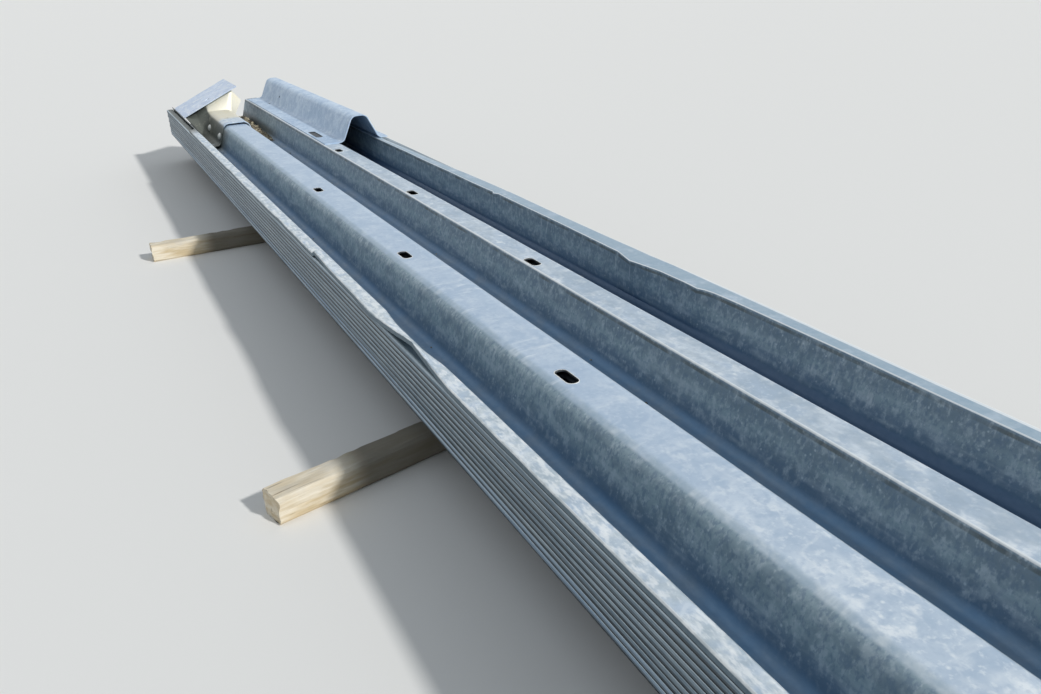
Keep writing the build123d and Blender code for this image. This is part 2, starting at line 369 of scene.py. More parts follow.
@dataclass(frozen=True)
class TopRailZinc(HotDipZinc):
    """The top rail's zinc: run-off has stained its slopes, painted shade darkens them, and its
    troughs hold a painted blue sky reflection.
    """

    floor_mm: float = 0.0
    crest_mm: float = 0.0
    cool: str = "#A3B8CE"
    # The slope and lip colours are darker and bluer than the coat, partly as painted shade.
    slope_top: str = "#667B8A"
    slope_middle: str = "#8A9FA9"
    slope_foot: str = "#5C758C"
    # The trough colours are a painted blue sky reflection in shade.
    trough: str = "#547899"
    third_floor_shade: str = "#344F6C"
    lip: str = "#50636F"
    unlit: str = "#1C242A"
    run_off: str = "#B9C7CF"
    # The next colour is a painted shadow under the sharp edges, with some dirt.
    grime_and_shade: str = "#4A4C43"
    dull: str = "#A2AFB4"
    calm: str = "#98A9B7"
    dim: str = "#8FA6B6"
    # The bleached colour is also laid as painted highlights along the bent edges.
    bleached: str = "#EEF1F1"
    silt_and_shade: str = "#4C514C"

    def weather(self, canvas: Canvas, colour: Any) -> Any:
        """Stains the slopes, paints shade on them and a sky reflection in the troughs, and paints
        highlights on the bent edges.

        Args:
            canvas: The material's canvas.
            colour: The coat's colour.

        Returns:
            The weathered colour.
        """
        x, y, z = canvas.x, canvas.y, canvas.z
        floor, crest = self.floor_mm, self.crest_mm
        # Across the rail the first crest runs from -161 to -71, the second from 53 to 108, and
        # the flanges start at -263 and 259.
        steep = canvas.zone(canvas.facing_z, None, 0.78, 0.12)
        upward = canvas.zone(canvas.facing_z, 0.6, None, 0.2)
        crest_1 = canvas.zone(x, -165, -62, 8)
        crest_2 = canvas.zone(x, 56, 110, 3)
        shoulder_shade = canvas.zone(x, -176, -152, 9)
        near = canvas.zone(y, None, -700, 500)
        wiped = canvas.cloud((60, 16, 60), 0.5, 0.68, 31.0)
        lip = canvas.zone(canvas.aside, 283, None, 2)
        third_slope = canvas.zone(x, 205, None, 6)
        runs = canvas.cloud((80, 16, 70), 0.6, 0.74, 9.0)
        deep = canvas.zone(z, None, floor + 5, 13)
        under_edge_shadow = canvas.zone(z, crest - 7.5, crest - 4.5, 2)
        patchy = canvas.cloud(60, 0.35, 0.6, 6.0)
        left_flange = canvas.zone(x, None, -258, 5)
        right_flange = canvas.zone(x, 222, None, 6)
        high_up = canvas.zone(z, crest - 8, None, 4)
        return canvas.layers(
            colour,
            # The first crest is cooler far away and wiped near by, with painted shade on its left
            # shoulder; the second one is plainer.
            (self.cool, 0.6, crest_1, canvas.zone(y, -1100, None, 700)),
            (self.slope_middle, 0.45, shoulder_shade, canvas.cloud(50, 0.2, 0.5)),
            (self.scuff, 0.45, crest_1, wiped, near, canvas.cloud(70, 0.45, 0.6, 33.0)),
            (self.calm, 0.6, crest_2, canvas.cloud((25, 60, 25), 0.3, 0.6)),
            # The slopes and the lips, partly painted shade with a painted shadow line at each lip's
            # foot, and a few pale runs below the edge of the third wave.
            (self.slope(canvas), 0.94, steep),
            (self.lip, 0.8, steep, lip),
            (self.unlit, 0.9, steep, lip, canvas.zone(z, None, crest - 8, 1)),
            (self.scuff, 0.4, third_slope, runs, canvas.zone(z, floor + 34, crest - 12, 12), steep),
            # The floors of the troughs: darker near the floor, then a painted blue sky reflection
            # in shade, darkest in the third trough.
            (self.slope_foot, 0.5, canvas.zone(z, floor + 4, floor + 20, 6),
             canvas.cloud(45, 0.4, 0.6, 1.0)),
            (self.slope_foot, 0.9, deep),
            (self.trough, 0.9, deep, canvas.cloud((40, 80, 40), 0.32, 0.6)),
            (self.third_floor_shade, 0.95, deep, canvas.zone(x, 212, None, 10)),
            # Painted shadow darkens the slopes under the sharp edges, and painted highlights run
            # along the edges themselves.
            (self.grime_and_shade, 0.65, under_edge_shadow, canvas.zone(x, 30, None, 4), steep, patchy),
            (self.bleached, 0.65, canvas.zone(x, -289.5, -286.5, 1.0), upward),
            (self.bleached, 0.65, canvas.zone(x, 52.0, 54.5, 1.0), upward),
            # The flat flanges are duller than the crests, with cream scuffs on the left one, and
            # painted highlights along the right one's bend and near tip.
            (self.dull, 0.55, left_flange, upward, canvas.cloud(30, 0.35, 0.6)),
            (self.bleached, 0.55, left_flange, upward, canvas.cloud((8, 22, 8), 0.45, 0.6, 8.0)),
            (self.dim, 0.85, right_flange, high_up, upward, canvas.cloud(60, 0.2, 0.5)),
            (self.bleached, 0.7, right_flange, high_up,
             canvas.zone(canvas.facing_z, 0.6, 0.97, 0.02)),
            (self.bleached, 0.7, canvas.zone(x, 281, None, 2), high_up,
             canvas.zone(y, None, -820, 60)),
            # Silt and wet leaves, with painted shade, darken the far end of the first two troughs.
            (self.silt_and_shade, 0.85, canvas.zone(y, 1480, None, 160), canvas.zone(x, None, -166, 5)),
            (self.silt_and_shade, 0.8, canvas.zone(y, 1650, None, 250), canvas.zone(x, -72, 52, 3),
             canvas.zone(z, None, floor + 20, 25)),
            # No light reaches the crest below the offcut's foot.
            (self.unlit, 0.95, canvas.zone(x, 62, 108, 2), canvas.zone(y, 870, None, 8), upward),
        )

    def slope(self, canvas: Canvas) -> bpy.types.NodeSocket:
        """Draws a slope: rain and painted shade leave it dark, with a fine upright grain and pale
        splashes.

        Args:
            canvas: The material's canvas.

        Returns:
            The slope's colour.
        """
        z, floor = canvas.z, self.floor_mm
        splashes = canvas.cloud((30, 70, 16), 0.5, 0.68, 18.0)
        return canvas.layers(
            self.slope_middle,
            (self.slope_foot, canvas.zone(z, None, floor + 22, 22)),
            # Right of the middle, painted shadow under the overhanging edges darkens the top of the
            # slopes.
            (self.slope_top, 0.8, canvas.zone(z, self.crest_mm - 16, None, 20),
             canvas.zone(canvas.x, 0, None, 5)),
            (self.slope_top, 0.7, canvas.cloud((34, 60, 40), 0.46, 0.64, 2.0)),
            (self.run_off, 0.4, canvas.cloud((20, 18, 20), 0.5, 0.64, 24.0)),
            (self.run_off, 0.45, canvas.cloud((9, 7, 10), 0.54, 0.66, 4.0)),
            (self.slope_foot, 0.6, canvas.cloud((8, 6, 10), 0.5, 0.62, 14.0)),
            (self.run_off, 0.42, canvas.zone(z, floor + 20, floor + 46, 16), splashes),
            (self.run_off, 0.75, canvas.specks(15.0, 2.2)),
        )


@dataclass(frozen=True)
class NestedRailZinc(HotDipZinc):
    """The zinc of the rails below, in painted shade, with a painted shadow in each gap and a
    painted highlight on each edge.
    """

    first_lip_mm: float = 0.0
    pitch_mm: float = 1.0
    shaded: str = "#48606F"
    gap: str = "#141B20"
    worn: str = "#BCCBD3"
    lowest_flanges_tone: str = "#7F97AE"
    unlit: str = "#20262B"
    covered_half_mm: float = 2100.0
    silt_and_shade: str = "#4C514C"

    def weather(self, canvas: Canvas, colour: Any) -> Any:
        """Draws the painted shadow in the gap and the painted highlight on the edge of each flange.

        Args:
            canvas: The material's canvas.
            colour: The coat's colour.

        Returns:
            The weathered colour.
        """
        tree = canvas.tree
        level = {"Value": canvas.z, "From Min": self.first_lip_mm, "To Max": 1.0}
        level["From Max"] = self.first_lip_mm + self.pitch_mm
        count = add_node(tree, "ShaderNodeMapRange", {"clamp": False}, level).outputs[0]
        share = add_node(tree, "ShaderNodeMath", {"operation": "FRACT"}, {0: count}).outputs[0]
        edge = canvas.zone(canvas.aside, 284, None, 2)
        uneven = canvas.cloud((50, 900, self.pitch_mm), 0.3, 0.55)
        far_end = canvas.zone(canvas.y, 1450, None, 120)
        length = canvas.zone(canvas.y, -self.covered_half_mm, self.covered_half_mm, 25)
        return canvas.layers(
            colour,
            # The whole stack is painted in shade.
            (self.shaded, 0.85),
            # The lowest two flanges are drawn lighter.
            (self.lowest_flanges_tone, 0.8, canvas.zone(count, None, 2.0, 0.1), canvas.cloud(90, 0.2, 0.5)),
            (self.worn, 0.4, canvas.cloud((20, 300, 4), 0.42, 0.66, 3.0)),
            # A painted highlight on each flange's upper edge, and a painted shadow in the gap below
            # it.
            (self.worn, 0.95, edge, uneven, canvas.zone(share, 0.8, 0.94, 0.08)),
            (self.gap, 0.95, edge, canvas.zone(share, None, 0.18, 0.1)),
            (self.gap, 0.9, edge, canvas.zone(share, 0.965, None, 0.02)),
            (self.gap, 0.7, edge, uneven, canvas.zone(share, None, 0.42, 0.15)),
            # Silt and painted shade darken the far end of the left flanges.
            (self.silt_and_shade, 0.85, far_end, canvas.zone(canvas.x, -284, -165, 3)),
            # Where the top rail covers them they are painted black, for shade and dirt, as its
            # slots show.
            (self.unlit, 0.9, canvas.zone(canvas.x, -250, 225, 5), length),
        )


@dataclass(frozen=True)
class TerminalZinc(HotDipZinc):
    """The end terminal's zinc, bleached cream on its head and dark at its left with dirt and
    painted shade.
    """

    cream: str = "#D6D2C2"
    sand: str = "#D8D0B4"
    grime_and_shade: str = "#4D534E"

    def weather(self, canvas: Canvas, colour: Any) -> Any:
        """Bleaches the head and darkens the left side.

        Args:
            canvas: The material's canvas.
            colour: The coat's colour.

        Returns:
            The weathered colour.
        """
        x, y = canvas.x, canvas.y
        blown = canvas.cloud(45, 0.5, 0.68, 4.0)
        return canvas.layers(
            colour,
            (self.cream, canvas.zone(y, 1625, None, 80)),
            (self.sand, 0.6, blown, canvas.zone(y, 1640, None, 150)),
            # The left side, away from the light, is darkened by dirt and painted shade.
            (self.grime_and_shade, 0.95, canvas.zone(x, None, -166, 7), canvas.cloud(60, 0.1, 0.4)),
            # A dark groove crosses the head near its far edge.
            (self.grime_and_shade, 0.9, canvas.zone(y, 2098, 2118, 3), canvas.zone(x, -75, None, 3)),
        )


@dataclass(frozen=True)
class ToneZinc(HotDipZinc):
    """Zinc that use has brought to one tone.

    Bolt heads and rims are rubbed to a pale dull shine, and cut edges are painted dark as shade,
    with road dirt.
    """

    tone: str = "#F0EEE4"
    share: float = 0.7

    def weather(self, canvas: Canvas, colour: Any) -> Any:
        """Lays the one tone over the coat."""
        return canvas.paint(colour, self.tone, self.share)


@dataclass(frozen=True)
class WeatheredTimber:
    """Rough-sawn softwood.

    Sun and rain have bleached it to straw and silver, and opened dark cracks along its grain.
    """

    name: str
    along: float = 0.0
    bleached: str = "#E8DFCC"
    straw: str = "#C8B592"
    silver: str = "#B0AEA8"
    damp_and_shade: str = "#5F5C52"
    crack: str = "#5B4A38"
    grain_mm: float = 5.0
    relief_mm: float = 1.2
    top_mm: float = 42.0
    damp_and_shade_half_mm: float = 365.0

    def build(self) -> bpy.types.Material:
        """Builds the material with its grain along the batten.

        Returns:
            The material.
        """
        canvas = Canvas(self.name)
        tree = canvas.tree
        turn = {"Vector": canvas.place, "Rotation": (0.0, 0.0, self.along)}
        textured = {"vector_type": "TEXTURE"}
        canvas.place = add_node(tree, "ShaderNodeMapping", textured, turn).outputs[0]
        fine = self.grain_mm
        grain = canvas.cloud((fine * 26, fine, fine), 0.3, 0.7)
        top = canvas.zone(canvas.z, self.top_mm, None, 5)
        colour = canvas.layers(
            self.straw,
            (self.bleached, canvas.cloud((90, 30, 12), 0.38, 0.6, 2.0)),
            (self.straw, 0.5, grain),
            (self.silver, 0.55, canvas.cloud(70, 0.5, 0.7, 5.0), top),
            (self.bleached, 0.35, top),
            # Below the pile the timber stays damp and has darkened, and painted shade adds the
            # pile's shadow.
            (self.damp_and_shade, 0.85, canvas.zone(canvas.aside, None, self.damp_and_shade_half_mm, 60)),
            (self.crack, 0.75, canvas.cloud((fine * 30, fine, fine * 2), 0.36, 0.28, 9.0)),
        )
        return canvas.finish(colour, grain, self.relief_mm, roughness=0.9, metallic=0.0)


@dataclass(frozen=True)
class DriedSilt:
    """Sandy silt and leaf crumbs, washed into the troughs and dried to a crust."""

    name: str
    pale: str = "#CFC4A6"
    dark: str = "#4A4034"
    crumb_mm: float = 9.0
    relief_mm: float = 2.5

    def build(self) -> bpy.types.Material:
        """Builds the material, pale on the crumbs and dark between them.

        Returns:
            The material.
        """
        canvas = Canvas(self.name)
        crumbs = canvas.cloud(self.crumb_mm, 0.38, 0.6)
        colour = canvas.paint(self.dark, self.pale, crumbs, canvas.cloud(60, 0.35, 0.6, 3.0))
        return canvas.finish(colour, crumbs, self.relief_mm, roughness=0.95, metallic=0.0)


# Mesh helpers


def mesh_object(
    name: str, vertices: np.ndarray, faces: Sequence[Sequence[int]], material: bpy.types.Material
) -> bpy.types.Object:
    """Makes an object at the origin from points in metres.

    Args:
        name: The piece's name.
        vertices: Points, one row each.
        faces: Corner numbers of each face.
        material: The finish.

    Returns:
        The linked object.
    """
    mesh = bpy.data.meshes.new(name)
    points = [tuple(map(float, point)) for point in vertices]
    mesh.from_pydata(points, [], [tuple(face) for face in faces])
    mesh.validate()
    mesh.materials.append(material)
    obj = bpy.data.objects.new(name, mesh)
    bpy.context.scene.collection.objects.link(obj)
    return obj


def slab_faces(rows: int, columns: int) -> list[tuple[int, ...]]:
    """Closes two grids of points, the upper one first, into a slab.

    Args:
        rows: Rows of each grid, along Y.
        columns: Points in a row, along X.

    Returns:
        Corner numbers of each face, all facing outward.
    """
    under = rows * columns
    faces: list[tuple[int, ...]] = []
    for row in range(rows - 1):
        for a in range(row * columns, (row + 1) * columns - 1):
            b = under + a
            faces.append((a, a + 1, a + columns + 1, a + columns))
            faces.append((b, b + columns, b + columns + 1, b + 1))
    for near in range(columns - 1):
        far = (rows - 1) * columns + near
        faces.append((near, under + near, under + near + 1, near + 1))
        faces.append((far, far + 1, under + far + 1, under + far))
    for left in range(0, (rows - 1) * columns, columns):
        right = left + columns - 1
        faces.append((left, left + columns, under + left + columns, under + left))
        faces.append((right, under + right, under + right + columns, right + columns))
    return faces


def tube_faces(
    rings: int, count: int, first: int = 0, looped: bool = False
) -> list[tuple[int, ...]]:
    """Joins rings of points into a closed tube.

    Args:
        rings: Number of rings, each anticlockwise as seen from the last one.
        count: Points in a ring.
        first: Number of the first point.
        looped: Joins the last ring to the first one, where two caps close the tube otherwise.

    Returns:
        Corner numbers of each face, all facing outward.
    """
    faces: list[tuple[int, ...]] = []
    for ring in range(rings if looped else rings - 1):
        low, high = first + ring * count, first + (ring + 1) % rings * count
        for k in range(count):
            n = (k + 1) % count
            faces.append((low + k, low + n, high + n, high + k))
    if not looped:
        last = first + (rings - 1) * count
        faces.append(tuple(range(first + count - 1, first - 1, -1)))
        faces.append(tuple(range(last, last + count)))
    return faces


def rounded_path(
    corners: Sequence[Point], radii: Sequence[float], step: float, turn_deg: float = 9.0
) -> np.ndarray:
    """Rounds the inner corners of a path and divides its straight runs.

    Args:
        corners: The path's corners.
        radii: A radius for each inner corner.
        step: Longest straight piece.
        turn_deg: Turn of one piece of an arc.

    Returns:
        Points along the path.
    """
    path: list[np.ndarray] = [np.array(corners[0])]

    def straight_to(end: np.ndarray) -> None:
        """Adds the points of a straight run, no further apart than step.

        Args:
            end: The run's last point.
        """
        start = path[-1]
        count = max(1, math.ceil(float(np.linalg.norm(end - start)) / step))
        path.extend(start + (end - start) * (k / count) for k in range(1, count + 1))

    for index, radius in enumerate(radii, start=1):
        before, at, after = (np.array(corners[index + k]) for k in (-1, 0, 1))
        arrive = (at - before) / np.linalg.norm(at - before)
        leave = (after - at) / np.linalg.norm(after - at)
        turn = math.acos(max(-1.0, min(1.0, float(arrive @ leave))))
        tangent = radius * math.tan(turn / 2)
        side = math.copysign(1.0, float(arrive[0] * leave[1] - arrive[1] * leave[0]))
        straight_to(at - arrive * tangent)
        centre = path[-1] + radius * side * np.array((-arrive[1], arrive[0]))
        spoke = path[-1] - centre
        count = max(2, math.ceil(math.degrees(turn) / turn_deg))
        for k in range(1, count + 1):
            a = side * turn * k / count
            rotated = (
                spoke[0] * math.cos(a) - spoke[1] * math.sin(a),
                spoke[0] * math.sin(a) + spoke[1] * math.cos(a),
            )
            path.append(centre + np.array(rotated))
    straight_to(np.array(corners[-1]))
    return np.array(path)


def swell(x: np.ndarray, y: np.ndarray, size_mm: float, seed: float) -> np.ndarray:
    """Gives a gentle repeatable wobble between about -1 and 1.

    Args:
        x: Places across.
        y: Places along.
        size_mm: Size of one swell.
        seed: Picks another pattern.

    Returns:
        One value for each place.
    """
    flat = [
        noise.noise(Vector((a / size_mm, b / size_mm, seed)))
        for a, b in zip(x.ravel(), y.ravel())
    ]
    return np.array(flat).reshape(x.shape)


def shade_by_angle(obj: bpy.types.Object, degrees: float = 32.0) -> None:
    """Smooths a mesh and keeps its hard edges.

    Args:
        obj: The piece.
        degrees: Edges that turn more than this stay hard.
    """
    obj.data.polygons.foreach_set("use_smooth", [True] * len(obj.data.polygons))
    obj.data.set_sharp_from_angle(angle=math.radians(degrees))


@dataclass
class SheetSweep:
    """A bent sheet of even thickness that runs along Y."""

    name: str
    path: np.ndarray
    stations: np.ndarray
    sheet: float

    def build(self, warp: Warp, material: bpy.types.Material) -> bpy.types.Object:
        """Sweeps the section and moves its points by the warp.

        Args:
            warp: Gives the shift across, the slide along and the rise from the places.
            material: The finish.

        Returns:
            The sheet as one closed mesh.
        """
        tangent = np.gradient(self.path, axis=0)
        tangent /= np.linalg.norm(tangent, axis=1)[:, None]
        normal = np.stack((-tangent[:, 1], tangent[:, 0]), axis=1)
        rows, count = len(self.stations), len(self.path)
        across, along = np.meshgrid(self.path[:, 0], self.stations)
        moved = warp(across, along)
        layers = []
        for side in (0.5, -0.5):
            face = self.path + normal * self.sheet * side
            height = np.broadcast_to(face[:, 1], (rows, count))
            wide = np.broadcast_to(face[:, 0], (rows, count))
            layers.append((np.stack((wide, along, height), axis=2) + moved).reshape(-1, 3))
        obj = mesh_object(
            self.name, np.concatenate(layers) * MM, slab_faces(rows, count), material
        )
        shade_by_angle(obj)
        return obj


@dataclass
class Punch:
    """A straight cut through a sheet: a slot, a hole or a torn edge."""

    outline: Sequence[Point]
    middle: Vector
    across: Vector = Vector((1, 0, 0))
    along: Vector = Vector((0, 1, 0))
    depth: float = 24.0

    def cutter(self, material: bpy.types.Material) -> bpy.types.Object:
        """Makes the closed prism that cuts.

        Args:
            material: The finish that the cut edge gets.

        Returns:
            The cutter.
        """
        axis = self.across.cross(self.along).normalized() * self.depth / 2
        ring = [self.middle + self.across * a + self.along * b for a, b in self.outline]
        points = np.array([tuple(p + side) for side in (-axis, axis) for p in ring])
        return mesh_object("cutter", points * MM, tube_faces(2, len(ring)), material)


def punch(
    obj: bpy.types.Object, punches: Sequence[Punch], edge_material: bpy.types.Material
) -> None:
    """Cuts holes in a piece.

    Args:
        obj: The piece to cut.
        punches: The cuts.
        edge_material: The finish of the cut edges.
    """
    cutters = [one.cutter(edge_material) for one in punches]
    for cutter in cutters:
        modifier = obj.modifiers.new("cut", "BOOLEAN")
        modifier.operation = "DIFFERENCE"
        modifier.solver = "EXACT"
        modifier.material_mode = "TRANSFER"
        modifier.object = cutter
    made = bpy.data.meshes.new_from_object(
        obj.evaluated_get(bpy.context.evaluated_depsgraph_get())
    )
    obj.modifiers.clear()
    obj.data = made
    for cutter in cutters:
        bpy.data.objects.remove(cutter)
    shade_by_angle(obj)


def rounded_outline(length: float, width: float, radius: float, turn: int = 5) -> list[Point]:
    """Gives a rectangle with round corners, its length along the second direction.

    Args:
        length: Whole length.
        width: Whole width.
        radius: Radius of the corners.
        turn: Straight pieces of each corner.

    Returns:
        The outline's corners.
    """
    outline = []
    for quarter, (sx, sy) in enumerate(((1, 1), (-1, 1), (-1, -1), (1, -1))):
        for k in range(turn + 1):
            a = math.pi / 2 * (quarter + k / turn)
            x = sx * (width / 2 - radius) + radius * math.cos(a)
            y = sy * (length / 2 - radius) + radius * math.sin(a)
            outline.append((x, y))
    return outline


# The rails


@dataclass
class RailSection:
    """The section that all rails of the pile share."""

    sheet: float = 3.0
    depth: float = 83.0
    slope_run: float = 25.0
    lip: float = 8.4
    gap: float = 0.1
    spans: tuple[float, ...] = (26.0, 102.0, 90.0, 124.0, 55.0, 151.0, 30.0)
    bends: tuple[float, ...] = (3, 8, 18, 18, 26, 26, 18, 18, 3.5, 10, 18, 18, 1.8, 3)

    @property
    def left_tip(self) -> float:
        """The left free edge."""
        return -sum(self.spans) / 2

    @property
    def pitch(self) -> float:
        """Rise from one nested rail to the next."""
        angle = math.atan2(self.depth - self.sheet, self.slope_run)
        return (self.sheet + self.gap) / math.cos(angle)

    def corners(self, floor_z: float) -> list[Point]:
        """Corners of the sheet's middle line, with both lips.

        Args:
            floor_z: Height of the middle of the sheet in the troughs.

        Returns:
            The corners from the left lip to the right one.
        """
        high = floor_z + self.depth - self.sheet
        half = self.sheet / 2
        points = [(self.left_tip + half, high - self.lip), (self.left_tip + half, high)]
        x = self.left_tip
        for index, width in enumerate(self.spans[:-1]):
            x += width
            into = index % 2 == 0
            first = (x, high) if into else (x - self.slope_run, floor_z)
            second = (x + self.slope_run, floor_z) if into else (x, high)
            points.extend((first, second))
        right = -self.left_tip - half
        points.extend(((right, high), (right, high - self.lip)))
        return points


@dataclass
class TopRail:
    """The rail that lies on top of the pile, with its slots and its damage.

    The damage is written as (place along, amount) pairs, joined by straight lines as creased
    sheet is.
    """

    section: RailSection
    bearer_height: float = 48.0
    nested_below: int = 10
    length: float = 4318.0
    spacing: float = 17.0
    slot: tuple[float, float, float] = (50.0, 20.0, 9.5)
    slot_pitch: float = 667.0
    slots_crest_1: Point = (-129.0, -1095.0)
    slots_crest_2: Point = (67.0, -617.0)
    rim_width: float = 1.2
    rim_heights: tuple[float, float, float] = (-1.0, 0.2, 0.5)
    straight_piece: float = 20.0
    crease_clear: float = 4.0
    swell_mm: float = 240.0
    swell_rise: float = 0.7
    ripple_mm: float = 90.0
    ripple_rise: float = 2.5
    torn_from: float = 1470.0
    torn_outline: tuple[Point, ...] = (
        (-60, 0), (12, 0), (17, 9), (23, 4), (20, 22), (25, 60), (22, 110), (26, 160), (23, 250),
        (26, 420), (24, 720), (-60, 720),
    )
    left_lift: tuple[Point, ...] = (
        (-1034.0, 0.0), (-884.0, 16.0), (-690.0, 0.0), (-420.0, 1.0), (-310.0, 8.5), (-296.0, 0.0),
        (-60.0, 0.0), (10.0, 3.0), (120.0, 0.0), (560.0, 0.0), (640.0, 3.5), (700.0, 0.0),
    )
    left_tip_shift: tuple[Point, ...] = (
        (-1034.0, 0.0), (-884.0, 5.0), (-690.0, -4.0), (-600.0, 0.0), (-310.0, 2.0), (-296.0, 0.0),
    )
    left_bend_shift: tuple[Point, ...] = (
        (-960.0, 0.0), (-890.0, -6.0), (-760.0, -6.0), (-690.0, 0.0),
    )
    right_bend_shift: tuple[Point, ...] = (
        (-1268.0, 0.0), (-1127.0, -2.1), (-1010.0, -3.7), (-946.0, -6.0), (-924.0, -9.9),
        (-909.0, -16.2), (-870.0, -15.0), (-798.0, -17.1), (-744.0, -25.3), (-715.0, -30.0),
        (-655.0, -17.0), (-584.0, -15.9), (-413.0, -14.7), (-211.0, -13.8), (-94.0, -12.8),
        (-78.0, -20.5), (-62.0, -14.0), (-30.0, -15.5), (79.0, -17.4), (203.0, -17.2),
        (332.0, -19.3), (554.0, -20.3), (803.0, -23.9), (1000.0, -24.0), (2159.0, -6.0),
    )
    right_tip_shift: tuple[Point, ...] = (
        (-1100.0, 0.0), (-860.0, -1.5), (-706.0, -5.9), (-525.0, -9.2), (-354.0, -11.2),
        (-142.0, -8.8), (45.0, -11.0), (156.0, -15.0), (265.0, -20.0), (389.0, -23.5),
        (594.0, -28.0), (834.0, -34.0), (1000.0, -24.0), (2159.0, -6.0),
    )
    right_tip_drop: tuple[Point, ...] = (
        (156.0, 0.0), (389.0, -1.6), (594.0, -3.5), (800.0, -4.0), (860.0, 0.0),
    )

    @property
    def floor_z(self) -> float:
        """Height of the middle of its sheet in the troughs."""
        return self.bearer_height + self.section.sheet / 2 + self.nested_below * self.section.pitch

    @property
    def crest_z(self) -> float:
        """Height of the top of its crests."""
        return self.floor_z - self.section.sheet / 2 + self.section.depth

    def slot_places(self) -> list[Vector]:
        """Middles of the slots in the two crests."""
        return [
            Vector((x, first + k * self.slot_pitch, self.crest_z))
            for x, first in (self.slots_crest_1, self.slots_crest_2)
            for k in range(3)
        ]

    def slot_rims(self, material: bpy.types.Material) -> bpy.types.Object:
        """Builds the raised rim that the zinc leaves around each slot.

        Args:
            material: The finish.

        Returns:
            The rims as one mesh.
        """
        length, width, radius = self.slot
        grow = self.rim_width
        inner = rounded_outline(length, width, radius)
        outer = rounded_outline(length + 2 * grow, width + 2 * grow, radius + grow)
        sunk, outside, inside = self.rim_heights
        rings = ((outer, sunk), (outer, outside), (inner, inside), (inner, sunk))
        points: list[Sequence[float]] = []
        faces: list[Sequence[int]] = []
        for middle in self.slot_places():
            rise = self.warp(np.array([[middle.x]]), np.array([[middle.y]]))[0, 0, 2]
            faces.extend(tube_faces(len(rings), len(inner), len(points), looped=True))
            for ring, up in rings:
                points.extend((middle.x + a, middle.y + b, middle.z + rise + up) for a, b in ring)
        return mesh_object("slot_rims", np.array(points) * MM, faces, material)

    def stations(self) -> np.ndarray:
        """Gives the places of the sections, with one at each crease.

        Returns:
            Places along the rail.
        """
        half = self.length / 2
        even = np.linspace(-half, half, math.ceil(self.length / self.spacing) + 1)
        creases = [y for y, _ in (*self.left_lift, *self.right_bend_shift) if abs(y) < half]
        away = np.abs(even[:, None] - np.array(creases)[None, :]).min(axis=1)
        near = away < self.crease_clear
        near[[0, -1]] = False
        return np.unique(np.concatenate((even[~near], creases)))

    def warp(self, across: np.ndarray, along: np.ndarray) -> np.ndarray:
        """Moves the sheet as years of handling have: swells, the kinked and the bowed flange.

        Args:
            across: Places across.
            along: Places along.

        Returns:
            The move of each place.
        """
        moved = np.zeros((*across.shape, 3))
        flange, run = self.section.spans[0], self.section.slope_run
        left_bend = self.section.left_tip + flange
        right_bend = -self.section.left_tip - self.section.spans[-1]

        lift, tip, bend, bow, bow_tip, drop = (
            np.interp(along, *np.array(pairs).T)
            for pairs in (
                self.left_lift, self.left_tip_shift, self.left_bend_shift,
                self.right_bend_shift, self.right_tip_shift, self.right_tip_drop,
            )
        )
        left = np.clip((left_bend - across) / flange, 0.0, 1.0)
        slope = np.clip((left_bend + run - across) / run, 0.0, 1.0)
        moved[:, :, 0] += left * tip + slope * (1 - left) * bend
        ripple = np.clip(swell(across * 0.1, along, self.ripple_mm, 9.7), 0.0, 1.0)
        moved[:, :, 2] += left**1.5 * (lift + self.ripple_rise * ripple)

        lean = np.clip((across - right_bend + run) / run, 0.0, 1.0)
        right = np.clip((across - right_bend) / self.section.spans[-1], 0.0, 1.0)
        moved[:, :, 0] += lean * (bow * (1 - right) + bow_tip * right)
        moved[:, :, 2] += right * drop
        rise = self.swell_rise
        moved[:, :, 2] += rise + rise * swell(across, along, self.swell_mm, 3.1)
        return moved

    def build(
        self, material: bpy.types.Material, edge_material: bpy.types.Material
    ) -> bpy.types.Object:
        """Builds the rail and cuts its slots and the torn flange.

        Args:
            material: The finish.
            edge_material: The finish of the cut edges.

        Returns:
            The rail.
        """
        corners = self.section.corners(self.floor_z)
        path = rounded_path(corners, self.section.bends, self.straight_piece)
        sweep = SheetSweep("top_rail_sheet", path, self.stations(), self.section.sheet)
        rail = sweep.build(self.warp, material)
        outline = rounded_outline(*self.slot)
        punches = [Punch(outline, middle) for middle in self.slot_places()]
        torn = Vector((self.section.left_tip, self.torn_from, self.crest_z))
        punches.append(Punch(self.torn_outline, torn))
        punch(rail, punches, edge_material)
        return rail


